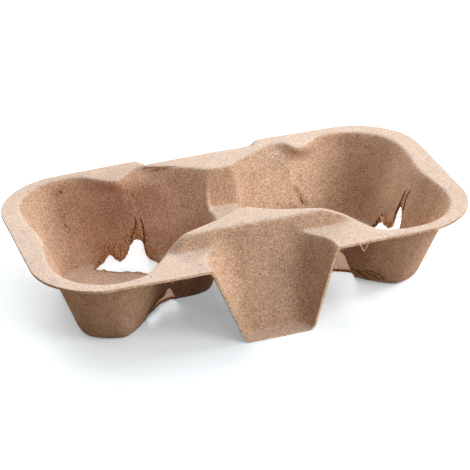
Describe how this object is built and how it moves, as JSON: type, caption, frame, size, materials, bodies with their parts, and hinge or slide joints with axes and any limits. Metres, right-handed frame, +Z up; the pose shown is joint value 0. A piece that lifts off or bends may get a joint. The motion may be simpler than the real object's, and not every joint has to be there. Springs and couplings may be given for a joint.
{
  "type": "cup carrier",
  "caption": "Carrier tray of moulded paper pulp with flared cup pockets joined by a raised ridge, a half well with a foot in front, and torn holes in the pockets.",
  "frame": {"origin": "on the plane the feet stand on, below the middle of the tray's outline", "axes": "+X along the tray's length, to the right as seen from the torn side; -Y faces the torn side with the half well; +Z up"},
  "size_m": [0.213, 0.1146, 0.049],
  "materials": {
    "moulded_pulp": "matte, speckled moulded paper pulp"
  },
  "bodies": {
    "root": {"pulp_tray": "moulded_pulp"}
  },
  "joints": []
}
